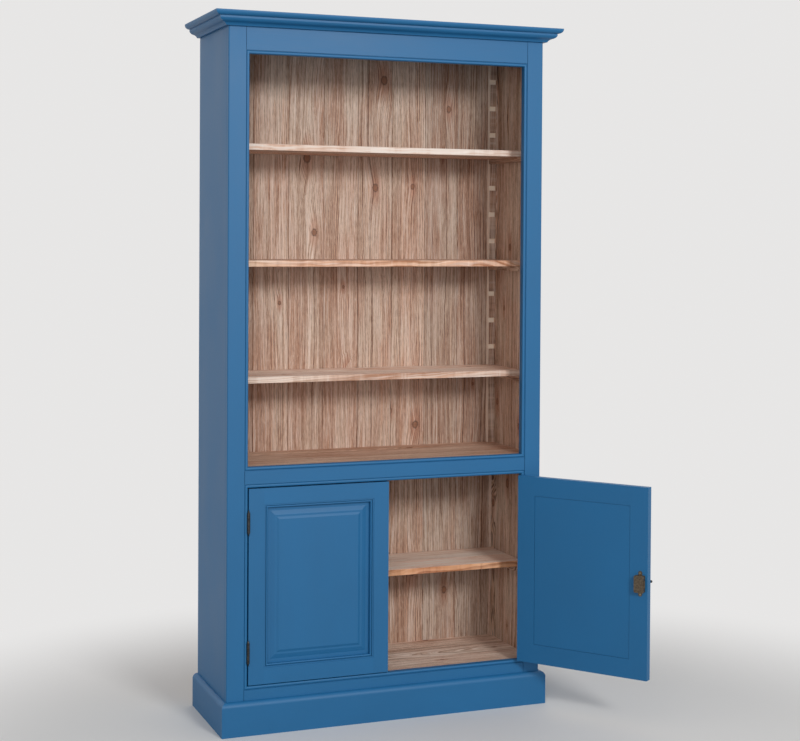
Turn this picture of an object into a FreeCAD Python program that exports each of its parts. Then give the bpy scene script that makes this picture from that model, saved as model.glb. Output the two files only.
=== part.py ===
import FreeCAD, Part
import os
import Sketcher
from FreeCAD import Vector

# A painted pine bookcase: open shelves above, a cupboard with two framed doors below.
# Frame: +Z up, front faces -Y, +X to the right of someone who faces it. The origin is on the
# floor, midway between the sides, in the plane of the face frame's front. Millimetres.

doc = FreeCAD.newDocument("bookcase")
sheet = doc.addObject("Spreadsheet::Sheet", "Sizes")


# ---------------------------------------------------------------- sizes

class Size:
    """A length that carries its number and the sheet expression that it comes from."""

    def __init__(self, value, text):
        self.value = float(value)
        self.text = text

    def __add__(self, other):
        return combine(self, "+", other)

    def __radd__(self, other):
        return combine(other, "+", self)

    def __sub__(self, other):
        return combine(self, "-", other)

    def __rsub__(self, other):
        return combine(other, "-", self)

    def __mul__(self, other):
        return combine(self, "*", other)

    def __rmul__(self, other):
        return combine(other, "*", self)

    def __truediv__(self, other):
        return combine(self, "/", other)

    def __neg__(self):
        return combine(0, "-", self)


def as_size(number):
    return number if isinstance(number, Size) else Size(number, repr(number))


def combine(first, sign, second):
    first, second = as_size(first), as_size(second)
    results = {
        "+": first.value + second.value,
        "-": first.value - second.value,
        "*": first.value * second.value,
        "/": first.value / second.value if second.value else 0.0,
    }
    return Size(results[sign], f"({first.text} {sign} {second.text})")


sheet_rows = []


def size(alias, number):
    """Writes one driving dimension to the sheet and returns it as a Size."""
    sheet_rows.append(alias)
    cell = f"B{len(sheet_rows)}"
    sheet.set(f"A{len(sheet_rows)}", alias)
    sheet.set(cell, str(number))
    sheet.setAlias(cell, alias)
    return Size(number, f"Sizes.{alias}")


# Carcass
total_height = size("total_height", 2100)
body_width = size("body_width", 1003)
body_depth = size("body_depth", 343)
side_thickness = size("side_thickness", 16)
board_thickness = size("board_thickness", 19)
housing_depth = size("housing_depth", 6)
side_chamfer = size("side_chamfer", 1.2)

# Face frame
frame_thickness = size("frame_thickness", 21)
stile_width = size("stile_width", 53.5)
stile_edge_radius = size("stile_edge_radius", 4)
header_height = size("header_height", 93.5)
middle_rail_height = size("middle_rail_height", 41.5)
bottom_rail_height = size("bottom_rail_height", 70)
bead_width = size("bead_width", 9.5)
bead_radius = size("bead_radius", 4)
quirk_width = size("quirk_width", 1.5)
quirk_depth = size("quirk_depth", 2.5)
door_sill_level = size("door_sill_level", 140.3)
door_opening_height = size("door_opening_height", 580.2)
sill_lip = size("sill_lip", 2)
tenon_length = size("tenon_length", 25)
tenon_thickness = size("tenon_thickness", 8)
tenon_shoulder = size("tenon_shoulder", 10)

# Cornice and plinth
cap_thickness = size("cap_thickness", 15)
cap_round = size("cap_round", 13)
cap_overhang = size("cap_overhang", 48)
ogee_height = size("ogee_height", 25)
ogee_fillet = size("ogee_fillet", 6)
ogee_reach = size("ogee_reach", 33.5)
ogee_foot = size("ogee_foot", 9.5)
ogee_swell = size("ogee_swell", 1.8)
plinth_height = size("plinth_height", 100)
plinth_thickness = size("plinth_thickness", 16.5)
plinth_round = size("plinth_round", 15)

# Back
back_thickness = size("back_thickness", 10)
back_board_width = size("back_board_width", 115)
back_joint_shift = size("back_joint_shift", 12.5)
back_joint_gap = size("back_joint_gap", 0.3)
back_chamfer = size("back_chamfer", 1.5)
back_rebate = size("back_rebate", 8)
tongue_length = size("tongue_length", 5)
tongue_thickness = size("tongue_thickness", 3)

# Shelves and what carries them
shelf_depth = size("shelf_depth", 235)
shelf_fit = size("shelf_fit", 1)
shelf_round = size("shelf_round", 1.5)
strip_width = size("strip_width", 22)
strip_depth = size("strip_depth", 19)
notch_spacing = size("notch_spacing", 86.7)
first_notch_height = size("first_notch_height", 236.5)
notch_depth = size("notch_depth", 8)
notch_fit = size("notch_fit", 0.5)
cleat_height = size("cleat_height", 15)
cupboard_shelf_height = size("cupboard_shelf_height", 271.2)
cupboard_cleat_inset = size("cupboard_cleat_inset", 12)

# Doors
door_thickness = size("door_thickness", 22)
door_stile_width = size("door_stile_width", 58)
door_rail_width = size("door_rail_width", 58)
hinge_side_gap = size("hinge_side_gap", 3)
meeting_gap = size("meeting_gap", 2)
door_clearance = size("door_clearance", 2.8)
right_door_angle = size("right_door_angle", 127)
moulding_width = size("moulding_width", 11)
moulding_step = size("moulding_step", 1.6)
moulding_bead = size("moulding_bead", 5.4)
moulding_quirk_width = size("moulding_quirk_width", 1.6)
moulding_quirk_depth = size("moulding_quirk_depth", 5)
groove_depth = size("groove_depth", 8)
groove_width = size("groove_width", 5.5)
groove_from_front = size("groove_from_front", 13.5)
panel_tongue = size("panel_tongue", 6)
panel_margin = size("panel_margin", 11)
panel_slope = size("panel_slope", 13)
panel_slope_rise = size("panel_slope_rise", 3.5)
panel_ledge = size("panel_ledge", 5.5)
field_slope = size("field_slope", 7)
field_rise = size("field_rise", 2.7)
panel_back_sink = size("panel_back_sink", 1)
panel_back_gap = size("panel_back_gap", 0.8)

# Hinges
hinge_height = size("hinge_height", 58)
hinge_radius = size("hinge_radius", 4.5)
hinge_pin_radius = size("hinge_pin_radius", 2)
hinge_proud = size("hinge_proud", 3)
hinge_from_top = size("hinge_from_top", 99)
hinge_from_bottom = size("hinge_from_bottom", 95)
leaf_thickness = size("leaf_thickness", 1.2)
leaf_width = size("leaf_width", 19)
knuckle_gap = size("knuckle_gap", 0.3)
pin_fit = size("pin_fit", 0.06)
barrel_room = size("barrel_room", 0.4)
finial_height = size("finial_height", 10)
finial_radius = size("finial_radius", 3.4)
finial_rim = size("finial_rim", 1.5)
finial_room = size("finial_room", 1)
hinge_screw_spacing = size("hinge_screw_spacing", 40)
screw_length = size("screw_length", 14)
screw_radius = size("screw_radius", 1.5)
screw_head_radius = size("screw_head_radius", 3)
screw_head_depth = size("screw_head_depth", 1.1)

# Latch of the right door
latch_level = size("latch_level", 431)
latch_edge_distance = size("latch_edge_distance", 7.5)
case_width = size("case_width", 31)
case_height = size("case_height", 51)
case_depth = size("case_depth", 14)
case_wall = size("case_wall", 1.4)
case_round = size("case_round", 4)
ear_radius = size("ear_radius", 6)
ear_reach = size("ear_reach", 6.5)
ear_thickness = size("ear_thickness", 1.6)
bolt_height = size("bolt_height", 24)
bolt_thickness = size("bolt_thickness", 3.6)
bolt_show = size("bolt_show", 2.5)
bolt_fit = size("bolt_fit", 0.25)
bolt_back_room = size("bolt_back_room", 0.5)
bolt_tail = size("bolt_tail", 5.5)
crank_radius = size("crank_radius", 5)
crank_pin_radius = size("crank_pin_radius", 1.6)
crank_thickness = size("crank_thickness", 2)
crank_rim = size("crank_rim", 1)
crank_play = size("crank_play", 0.3)
spindle_radius = size("spindle_radius", 3)
spindle_room = size("spindle_room", 0.5)
knob_bar_length = size("knob_bar_length", 38)
knob_bar_radius = size("knob_bar_radius", 4)
knob_neck_length = size("knob_neck_length", 21)
knob_neck_radius = size("knob_neck_radius", 5)
knob_gap = size("knob_gap", 0.3)
rose_radius = size("rose_radius", 11)
rose_thickness = size("rose_thickness", 2.5)

# Barrel bolt and meeting strip of the left door
meeting_strip_width = size("meeting_strip_width", 30)
meeting_strip_thickness = size("meeting_strip_thickness", 8)
meeting_strip_lap = size("meeting_strip_lap", 5.4)
meeting_strip_relief = size("meeting_strip_relief", 0.3)
meeting_strip_setback = size("meeting_strip_setback", 6)
meeting_strip_round = size("meeting_strip_round", 2)
bolt_plate_width = size("bolt_plate_width", 20)
bolt_plate_height = size("bolt_plate_height", 62)
bolt_plate_thickness = size("bolt_plate_thickness", 1.5)
bolt_plate_drop = size("bolt_plate_drop", 12)
bolt_plate_setback = size("bolt_plate_setback", 1)
rod_radius = size("rod_radius", 3)
rod_fit = size("rod_fit", 0.1)
rod_lift = size("rod_lift", 0.5)
rod_below_top = size("rod_below_top", 2)
rod_length = size("rod_length", 66)
rod_wall = size("rod_wall", 1.5)
rod_travel = size("rod_travel", 14)
guide_height = size("guide_height", 7)
guide_from_top = size("guide_from_top", 3)
rod_stem_radius = size("rod_stem_radius", 2.5)
rod_stem_length = size("rod_stem_length", 11)
rod_stem_room = size("rod_stem_room", 0.5)
rod_ball_radius = size("rod_ball_radius", 4)
small_screw_length = size("small_screw_length", 8)
small_screw_radius = size("small_screw_radius", 1.1)
small_head_radius = size("small_head_radius", 2.2)
bolt_screw_inset = size("bolt_screw_inset", 3)
bolt_screw_from_end = size("bolt_screw_from_end", 6)

doc.recompute()

# Levels and places worked out from the sizes
half_width = body_width / 2
inner_half = half_width - side_thickness
frame_half = half_width - stile_width
opening_half = frame_half - bead_width
carcass_top = total_height - cap_thickness
header_bottom = carcass_top - header_height
door_head_level = door_sill_level + door_opening_height
middle_rail_bottom = door_head_level + bead_width
middle_rail_top = middle_rail_bottom + middle_rail_height
upper_sill_level = middle_rail_top + bead_width
cupboard_floor_level = door_sill_level - sill_lip
middle_board_level = upper_sill_level - sill_lip
back_face = body_depth - back_thickness
door_width = (2 * opening_half - 2 * hinge_side_gap - meeting_gap) / 2
door_bottom = door_sill_level + door_clearance
door_height = door_opening_height - 2 * door_clearance
door_top = door_bottom + door_height
hinge_line = opening_half - hinge_side_gap / 2
hinge_levels = [door_top - hinge_from_top, door_bottom + hinge_from_bottom]
door_start = hinge_side_gap / 2
door_end = door_start + door_width
door_front = hinge_proud
door_back = hinge_proud + door_thickness
latch_centre = door_end - latch_edge_distance - case_width / 2
bolt_back = door_back + case_depth - case_wall - bolt_back_room
bolt_front = bolt_back - bolt_thickness
crank_back = bolt_front - bolt_fit
crank_offset = crank_radius / 2 ** 0.5
sides = {"left": -1, "right": 1}
stile_edges = {"hinge": (door_start, 1), "meeting": (door_end, -1)}
rail_edges = {"bottom": (door_bottom, 1), "top": (door_top, -1)}
TOUCH = 0.01
NOTCHES = 12
SHELF_NOTCHES = {"upper_shelf_1": 8, "upper_shelf_2": 4, "upper_shelf_3": 0}

parts = {}


# ---------------------------------------------------------------- tools

def bind(thing, name, length):
    """Ties one property of an object to the sheet."""
    thing.setExpression(name, as_size(length).text)


def place(thing, at_x=0, at_y=0, at_z=0):
    for axis, length in (("x", at_x), ("y", at_y), ("z", at_z)):
        bind(thing, f"Placement.Base.{axis}", length)
    return thing


def keep(label, thing):
    """Names a finished piece: its label is also its file's name."""
    thing.Label = label
    parts[label] = thing
    return thing


def block(low, high, name="block"):
    """A box between two corners."""
    thing = doc.addObject("Part::Box", name)
    for side, start, end in zip(("Length", "Width", "Height"), low, high):
        bind(thing, side, as_size(end) - as_size(start))
    return place(thing, *low)


def rod(radius, length, base, axis="z", name="rod"):
    """A round bar from its base centre along x, y or z, or against it."""
    thing = doc.addObject("Part::Cylinder", name)
    bind(thing, "Radius", radius)
    bind(thing, "Height", length)
    place(thing, *base)
    return aim(thing, axis)


def aim(thing, axis):
    """Turns an upright primitive about its base so that it points along an axis."""
    turns = {"x": (Vector(0, 1, 0), 90), "-x": (Vector(0, 1, 0), -90), "z": (Vector(0, 0, 1), 0),
             "y": (Vector(1, 0, 0), -90), "-y": (Vector(1, 0, 0), 90), "-z": (Vector(1, 0, 0), 180)}
    thing.Placement.Rotation = FreeCAD.Rotation(*turns[axis])
    return thing


def cone(base_radius, end_radius, length, base, axis="z", name="cone"):
    thing = doc.addObject("Part::Cone", name)
    bind(thing, "Radius1", base_radius)
    bind(thing, "Radius2", end_radius)
    bind(thing, "Height", length)
    return aim(place(thing, *base), axis)


def ball(radius, centre, name="ball"):
    thing = doc.addObject("Part::Sphere", name)
    bind(thing, "Radius", radius)
    return place(thing, *centre)


def fuse(shapes, name="fused"):
    thing = doc.addObject("Part::MultiFuse", name)
    thing.Shapes = shapes
    return thing


def cut(base, tool, name="cut"):
    thing = doc.addObject("Part::Cut", name)
    thing.Base = base
    thing.Tool = tool
    return thing


def group(label, shapes):
    """Several separate solids that share one node."""
    thing = doc.addObject("Part::Compound", label)
    thing.Links = shapes
    return keep(label, thing)


def new_body(name):
    return doc.addObject("PartDesign::Body", name)


def sketch_on(body, plane, loops, flip=1, offset=0):
    """Closed outlines on one of the body's origin planes, or on a plane offset from it.

    Each corner is (across, up) or (across, up, radius). The radius belongs to the arc from that
    corner to the next one: positive turns left, negative turns right. flip=-1 mirrors the
    outlines in the sketch's upright axis.
    """
    sketch = body.newObject("Sketcher::SketchObject", f"{body.Name}_outline")
    support = [item for item in body.Origin.OriginFeatures if item.Role == plane][0]
    sketch.AttachmentSupport = (support, "")
    sketch.MapMode = "FlatFace"
    bind(sketch, "AttachmentOffset.Base.z", -as_size(offset) if plane == "XZ_Plane" else offset)
    for corners in loops:
        add_loop(sketch, corners, flip)
    return sketch


def add_loop(sketch, corners, flip=1):
    first = sketch.GeometryCount
    count = len(corners)
    points = [(flip * as_size(corner[0]), as_size(corner[1])) for corner in corners]
    for index, corner in enumerate(corners):
        start = Vector(points[index][0].value, points[index][1].value, 0)
        after = points[(index + 1) % count]
        end = Vector(after[0].value, after[1].value, 0)
        if len(corner) == 3:
            sketch.addGeometry(arc_between(start, end, flip * as_size(corner[2]).value))
        else:
            sketch.addGeometry(Part.LineSegment(start, end))
    for index, corner in enumerate(corners):
        turns_right = len(corner) == 3 and flip * as_size(corner[2]).value < 0
        last_point = 1 if turns_right else 2
        following = corners[(index + 1) % count]
        next_right = len(following) == 3 and flip * as_size(following[2]).value < 0
        first_point = 2 if next_right else 1
        sketch.addConstraint(Sketcher.Constraint(
            "Coincident", first + index, last_point, first + (index + 1) % count, first_point))
    for index, corner in enumerate(corners):
        turns_right = len(corner) == 3 and flip * as_size(corner[2]).value < 0
        corner_point = 2 if turns_right else 1
        for kind, length in zip(("DistanceX", "DistanceY"), points[index]):
            number = sketch.addConstraint(Sketcher.Constraint(
                kind, -1, 1, first + index, corner_point, length.value))
            sketch.setExpression(f"Constraints[{number}]", length.text)
        if len(corner) == 3:
            radius = as_size(corner[2])
            radius = radius if radius.value > 0 else -radius
            number = sketch.addConstraint(Sketcher.Constraint(
                "Radius", first + index, radius.value))
            sketch.setExpression(f"Constraints[{number}]", radius.text)


def arc_between(start, end, radius):
    """The shorter arc from start to end: a positive radius turns left, a negative one right."""
    chord = end - start
    half = chord.Length / 2
    rise = (max(radius * radius - half * half, 0)) ** 0.5
    left = Vector(-chord.y, chord.x, 0).normalize()
    turn = 1 if radius > 0 else -1
    centre = start + chord / 2 + left * (rise * turn)
    middle = centre - left * (abs(radius) * turn)
    return Part.Arc(start, middle, end) if turn > 0 else Part.Arc(end, middle, start)


def pad(body, sketch, length, backwards=False, both_ways=False):
    feature = body.newObject("PartDesign::Pad", f"{body.Name}_pad")
    feature.Profile = sketch
    bind(feature, "Length", length)
    feature.Reversed = backwards
    if both_ways:
        feature.SideType = "Symmetric"
    return feature


def pocket_through(body, sketch):
    """Cuts an outline right through the body, both ways."""
    feature = body.newObject("PartDesign::Pocket", f"{body.Name}_cut")
    feature.Profile = sketch
    feature.Type = "ThroughAll"
    feature.SideType = "Symmetric"
    return feature


def pocket(body, sketch, depth, backwards=False):
    feature = body.newObject("PartDesign::Pocket", f"{body.Name}_pocket")
    feature.Profile = sketch
    bind(feature, "Length", depth)
    feature.Reversed = backwards
    return feature


def rectangle(low_x, low_y, high_x, high_y):
    return [(low_x, low_y), (high_x, low_y), (high_x, high_y), (low_x, high_y)]


def rounded_rectangle(low_x, low_y, high_x, high_y, radius):
    return [(low_x + radius, low_y), (high_x - radius, low_y, radius), (high_x, low_y + radius),
            (high_x, high_y - radius, radius), (high_x - radius, high_y),
            (low_x + radius, high_y, radius), (low_x, high_y - radius), (low_x, low_y + radius, radius)]


def moved(outline, at=(0, 0), across=1, up=1, swap=False):
    """An outline taken to another corner, mirrored by the signs, with its axes swapped if asked."""
    turn = across * up * (-1 if swap else 1)
    corners = []
    for corner in outline:
        first, second = (corner[1], corner[0]) if swap else corner[:2]
        radius = [turn * corner[2]] if len(corner) == 3 else []
        corners.append((at[0] + across * first, at[1] + up * second, *radius))
    return corners


# ---------------------------------------------------------------- carcass

def side_panel(side):
    """A board with housings for the two fixed boards and a rebate for the back."""
    hand = sides[side]
    body = new_body(f"side_panel_{side}")
    plan = [(0, frame_thickness), (side_thickness - side_chamfer, frame_thickness),
            (side_thickness, frame_thickness + side_chamfer), (side_thickness, body_depth),
            (back_rebate, body_depth), (back_rebate, back_face), (0, back_face)]
    pad(body, sketch_on(body, "XY_Plane", [plan], hand), carcass_top)
    housings = [rectangle(frame_thickness, level - board_thickness, back_face, level)
                for level in (cupboard_floor_level, middle_board_level)]
    pocket(body, sketch_on(body, "YZ_Plane", housings), housing_depth, backwards=side == "right")
    return keep(f"side_panel_{side}", place(body, hand * inner_half))


def rail_tenon_levels():
    """Bottom and top of each rail of the face frame."""
    bottom_rail_top = door_sill_level - bead_width
    return {"header_rail": (header_bottom, carcass_top),
            "middle_rail": (middle_rail_bottom, middle_rail_top),
            "bottom_rail": (bottom_rail_top - bottom_rail_height, bottom_rail_top)}


def tenon_outline(bottom, top):
    front = (frame_thickness - tenon_thickness) / 2
    return rectangle(front, bottom + tenon_shoulder, front + tenon_thickness, top - tenon_shoulder)


def face_stile(side):
    """A full-height stile: quirk on its inner edge, soft outer edge, mortises for the rails."""
    hand = sides[side]
    body = new_body(f"face_stile_{side}")
    plan = [(0, quirk_depth), (quirk_width, quirk_depth), (quirk_width, 0),
            (stile_width - stile_edge_radius, 0, stile_edge_radius),
            (stile_width, stile_edge_radius), (stile_width, frame_thickness), (0, frame_thickness)]
    pad(body, sketch_on(body, "XY_Plane", [plan], hand), carcass_top)
    mortises = [tenon_outline(*levels) for levels in rail_tenon_levels().values()]
    pocket(body, sketch_on(body, "YZ_Plane", mortises), tenon_length, backwards=side == "right")
    return place(body, hand * frame_half)


def rail_outline(bottom, top, bead_below, bead_above):
    """A rail's section, with a quirk along each front edge that meets a bead."""
    lower = [(0, bottom)]
    upper = [(0, top)]
    if bead_below:
        lower = [(0, bottom + quirk_width), (quirk_depth, bottom + quirk_width), (quirk_depth, bottom)]
    if bead_above:
        upper = [(quirk_depth, top), (quirk_depth, top - quirk_width), (0, top - quirk_width)]
    return lower + [(frame_thickness, bottom), (frame_thickness, top)] + upper


def face_rail(label, bottom, top):
    body = new_body(label)
    outline = rail_outline(bottom, top, label != "bottom_rail", label != "header_rail")
    pad(body, sketch_on(body, "YZ_Plane", [outline]), 2 * frame_half, both_ways=True)
    pad(body, sketch_on(body, "YZ_Plane", [tenon_outline(bottom, top)]),
        2 * (frame_half + tenon_length), both_ways=True)
    return keep(label, body)


def bead_section():
    """Outward from the opening, then back through the depth; both front edges are round."""
    return [(0, frame_thickness), (0, bead_radius, bead_radius), (bead_radius, 0),
            (bead_width - bead_radius, 0, bead_radius), (bead_width, bead_radius),
            (bead_width, frame_thickness)]


def level_bead(name, level, upward):
    """A bead along the top (upward=1) or bottom (upward=-1) of an opening, mitred at its ends."""
    body = new_body(name)
    section = moved(bead_section(), up=upward, swap=True)
    pad(body, sketch_on(body, "YZ_Plane", [section]), 2 * frame_half, both_ways=True)
    mitres = [[(end * frame_half, 0), (end * opening_half, 0),
               (end * frame_half, upward * bead_width)] for end in (-1, 1)]
    pocket_through(body, sketch_on(body, "XZ_Plane", mitres))
    return place(body, 0, 0, level)


def upright_bead(name, side, bottom, top):
    hand = sides[side]
    body = new_body(name)
    length = top - bottom + 2 * bead_width
    pad(body, sketch_on(body, "XY_Plane", [bead_section()], hand), length)
    mitres = [[(0, 0), (bead_width, 0), (0, bead_width)],
              [(0, length), (bead_width, length), (0, length - bead_width)]]
    pocket_through(body, sketch_on(body, "XZ_Plane", mitres, hand))
    return place(body, hand * opening_half, 0, bottom - bead_width)


def opening_beads(name, bottom, top):
    return {"top": level_bead(f"{name}_top", top, 1),
            "bottom": level_bead(f"{name}_bottom", bottom, -1),
            "left": upright_bead(f"{name}_left", "left", bottom, top),
            "right": upright_bead(f"{name}_right", "right", bottom, top)}


def mitred_front(label, section, reach, level):
    """A moulding across the front; section is (outward, up) and both ends are mitred."""
    body = new_body(label)
    outline = moved(section, across=-1)
    pad(body, sketch_on(body, "YZ_Plane", [outline]), 2 * (half_width + reach), both_ways=True)
    mitres = [[(end * half_width, 0), (end * (half_width + reach), 0),
               (end * (half_width + reach), -reach)] for end in (-1, 1)]
    pocket_through(body, sketch_on(body, "XY_Plane", mitres))
    return keep(label, place(body, 0, 0, level))


def mitred_side(label, side, section, reach, level):
    """The same moulding back along one side, mitred at the front and square at the back."""
    hand = sides[side]
    body = new_body(label)
    pad(body, sketch_on(body, "XZ_Plane", [section], hand), body_depth + reach, backwards=True)
    mitre = [(0, 0), (reach, 0), (0, reach)]
    pocket_through(body, sketch_on(body, "XY_Plane", [mitre], hand))
    return keep(label, place(body, hand * half_width, -reach, level))


def ogee_section():
    """Hollow below, swelling above, with a small square fillet at the top."""
    run = (ogee_reach - ogee_foot) / 2
    rise = (ogee_height - ogee_fillet) / 2
    chord_squared = run * run + rise * rise
    radius = (chord_squared / 4 + ogee_swell * ogee_swell) / (2 * ogee_swell)
    return [(0, 0), (ogee_foot, 0, -radius), (ogee_foot + run, rise, radius),
            (ogee_reach, ogee_height - ogee_fillet), (ogee_reach, ogee_height), (0, ogee_height)]


def plinth_section():
    return [(0, 0), (plinth_thickness, 0),
            (plinth_thickness, plinth_height - plinth_round, plinth_round),
            (plinth_thickness - plinth_round, plinth_height), (0, plinth_height)]


def edges_where(thing, test):
    """Names of the edges whose middle passes the test."""
    return [f"Edge{number}" for number, edge in enumerate(thing.Shape.Edges, 1)
            if test(edge.CenterOfMass)]


def fillet(body, radius, test):
    doc.recompute()
    tip = body.Tip
    feature = body.newObject("PartDesign::Fillet", f"{body.Name}_fillet")
    feature.Base = (tip, edges_where(tip, test))
    bind(feature, "Radius", radius)
    return feature


def cap_board():
    """The top: it overhangs the front and sides, and its underside is rounded there."""
    body = new_body("top_board")
    reach = half_width + cap_overhang
    plan = rectangle(-reach, -cap_overhang, reach, body_depth)
    pad(body, sketch_on(body, "XY_Plane", [plan]), cap_thickness)
    place(body, 0, 0, carcass_top)
    back = body_depth.value
    fillet(body, cap_round, lambda at: abs(at.z) < TOUCH and abs(at.y - back) > TOUCH)
    return keep("top_board", body)


def back_board(number, start, end, groove, tongue):
    """One upright board of the back: groove on its left edge, tongue on its right."""
    label = f"back_board_{number}"
    body = new_body(label)
    width = end - start - back_joint_gap
    front = (back_thickness - tongue_thickness) / 2
    rear = front + tongue_thickness
    reach = tongue_length
    loose = back_joint_gap
    outline = [(back_chamfer, 0), (width - back_chamfer, 0), (width, back_chamfer)]
    if tongue:
        outline += [(width, front), (width + reach, front), (width + reach, rear), (width, rear)]
    outline += [(width, back_thickness), (0, back_thickness)]
    if groove:
        outline += [(0, rear + loose), (reach + loose, rear + loose),
                    (reach + loose, front - loose), (0, front - loose)]
    outline += [(0, back_chamfer)]
    pad(body, sketch_on(body, "XY_Plane", [outline]), carcass_top)
    return keep(label, place(body, start + back_joint_gap / 2, back_face))


def back_boards():
    edge = inner_half + back_rebate - back_joint_gap
    joints = [back_joint_shift + step * back_board_width for step in range(-3, 4)]
    starts, ends = [-edge] + joints, joints + [edge]
    for number, (start, end) in enumerate(zip(starts, ends), 1):
        back_board(number, start, end, groove=number > 1, tongue=number < len(starts))


def notched_strip(label, side, at_back):
    """A corner strip with a row of notches that face the other strip of its side."""
    body = new_body(label)
    section = rectangle(0, 0, strip_depth, carcass_top - middle_board_level)
    pad(body, sketch_on(body, "YZ_Plane", [section]), strip_width)
    near = 0 if at_back else strip_depth - notch_depth
    first_notch = rectangle(near, first_notch_height - cleat_height,
                            near + notch_depth, first_notch_height + notch_fit)
    notch = pocket_through(body, sketch_on(body, "YZ_Plane", [first_notch]))
    pattern = body.newObject("PartDesign::LinearPattern", f"{body.Name}_notches")
    pattern.Originals = [notch]
    upright = [item for item in body.Origin.OriginFeatures if item.Role == "Z_Axis"][0]
    pattern.Direction = (upright, [""])
    pattern.Occurrences = NOTCHES
    bind(pattern, "Length", (NOTCHES - 1) * notch_spacing)
    body.Tip = pattern
    at_x = inner_half - strip_width if side == "right" else -inner_half
    at_y = back_face - strip_depth if at_back else frame_thickness
    return keep(label, place(body, at_x, at_y, middle_board_level))


def cleat_pair(name, underside, front, back):
    """The two bars that carry a shelf, one against each side."""
    pair = []
    for side, hand in sides.items():
        at_x = inner_half - strip_width if side == "right" else -inner_half
        pair.append(block((at_x, front, underside - cleat_height),
                          (at_x + strip_width, back, underside), f"{name}_{side}"))
    return pair


def shelf(label, underside, corner_notches):
    """A loose board; its back corners are notched round the corner strips."""
    body = new_body(label)
    half = inner_half - shelf_fit
    back = back_face - shelf_fit
    front = back - shelf_depth
    if corner_notches:
        notch_x = inner_half - strip_width - shelf_fit
        notch_y = back_face - strip_depth - shelf_fit
        plan = [(-half, front), (half, front), (half, notch_y), (notch_x, notch_y), (notch_x, back),
                (-notch_x, back), (-notch_x, notch_y), (-half, notch_y)]
    else:
        plan = rectangle(-half, front, half, back)
    pad(body, sketch_on(body, "XY_Plane", [plan]), board_thickness)
    place(body, 0, 0, underside)
    line = front.value
    fillet(body, shelf_round, lambda at: abs(at.y - line) < TOUCH and abs(at.x) < TOUCH)
    return keep(label, body)


def fixed_board(label, level):
    """A board held in the side panels' housings, from the face frame to the back."""
    reach = inner_half + housing_depth
    return keep(label, block((-reach, frame_thickness, level - board_thickness),
                             (reach, back_face, level), label))


# ---------------------------------------------------------------- doors and their fittings

# Every piece of a door is drawn about its hinge line: across counts from the hinge line towards
# the free edge, and the right door is the left one's mirror image.

def towards(side):
    return -sides[side]


def hang(side, thing):
    """Puts a piece that is drawn about its hinge line where its door stands."""
    place(thing, sides[side] * hinge_line, -hinge_proud, 0)
    if side == "right":
        bind(thing, "Placement.Rotation.Angle", right_door_angle)
    return thing


def door_block(side, low, high, name="block"):
    start, end = (low[0], high[0]) if side == "left" else (-as_size(high[0]), -as_size(low[0]))
    return block((start, *low[1:]), (end, *high[1:]), name)


def frame_section(width):
    """Inward from a member's outer edge, then back: a step, a quirk, a bead and the panel groove."""
    step_at = width - moulding_width
    bead_at = width - moulding_bead
    quirk_at = bead_at - moulding_quirk_width
    round_off = moulding_bead / 2
    groove_back = groove_from_front + groove_width
    return [(0, 0), (step_at, 0), (step_at, moulding_step), (quirk_at, moulding_step),
            (quirk_at, moulding_quirk_depth), (bead_at, moulding_quirk_depth),
            (bead_at, moulding_step + round_off, round_off),
            (bead_at + round_off, moulding_step, round_off),
            (width, moulding_step + round_off), (width, groove_from_front),
            (width - groove_depth, groove_from_front), (width - groove_depth, groove_back),
            (width, groove_back), (width, door_thickness), (0, door_thickness)]


def door_stile(side, which):
    """A full-height stile. Its moulding stops in a mitre where the rails meet it."""
    edge, inward = stile_edges[which]
    body = new_body(f"{side}_door_{which}_stile_plain")
    section = moved(frame_section(door_stile_width), (edge, door_front), across=inward)
    pad(body, sketch_on(body, "XY_Plane", [section], towards(side), door_bottom), door_height)
    shoulder = edge + inward * (door_stile_width - moulding_width)
    sight_line = edge + inward * door_stile_width
    corners = [[(shoulder, end), (sight_line, end), (sight_line, end + upward * door_rail_width),
                (shoulder, end + upward * (door_rail_width - moulding_width))]
               for end, upward in rail_edges.values()]
    pocket_through(body, sketch_on(body, "XZ_Plane", corners, towards(side)))
    return body


def door_tenon_levels(edge, upward):
    """Where a rail's tenon begins and ends, up from the rail's outer edge."""
    return (edge + upward * tenon_shoulder,
            edge + upward * (door_rail_width - groove_depth - tenon_shoulder))


def door_mortises(side, which):
    edge, inward = stile_edges[which]
    shoulder = edge + inward * (door_stile_width - moulding_width)
    ends = [shoulder - inward * tenon_length, shoulder][::inward]
    front = door_front + (door_thickness - tenon_thickness) / 2
    mortises = []
    for rail_edge, upward in rail_edges.values():
        low, high = door_tenon_levels(rail_edge, upward)[::upward]
        mortises.append(door_block(side, (ends[0], front, low),
                                   (ends[1], front + tenon_thickness, high), "door_mortise"))
    return mortises


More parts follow.
